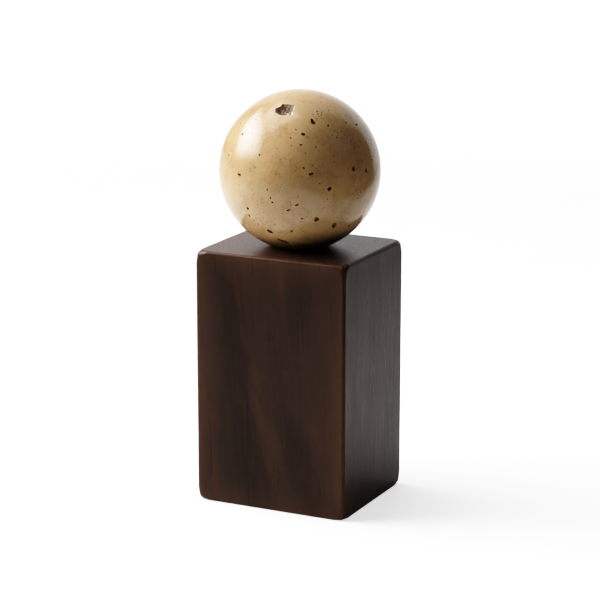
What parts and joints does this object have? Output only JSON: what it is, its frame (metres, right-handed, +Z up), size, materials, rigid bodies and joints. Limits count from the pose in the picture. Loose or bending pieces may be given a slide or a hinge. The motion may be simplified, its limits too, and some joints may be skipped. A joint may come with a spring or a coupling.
{
  "type": "decorative sphere on block",
  "caption": "Polished travertine ball with open natural pits, resting in a shallow dished seat on an upright dark wood block.",
  "frame": {"origin": "centre of the block's underside", "axes": "+Z up; +X to the right along the block's broad front face, which looks along -Y"},
  "size_m": [0.1018, 0.1, 0.2582],
  "materials": {
    "dark_wood": "dark walnut stain under satin lacquer",
    "travertine": "polished, unfilled pits"
  },
  "bodies": {
    "root": {"wood_block": "dark_wood", "travertine_sphere": "travertine"}
  },
  "joints": []
}
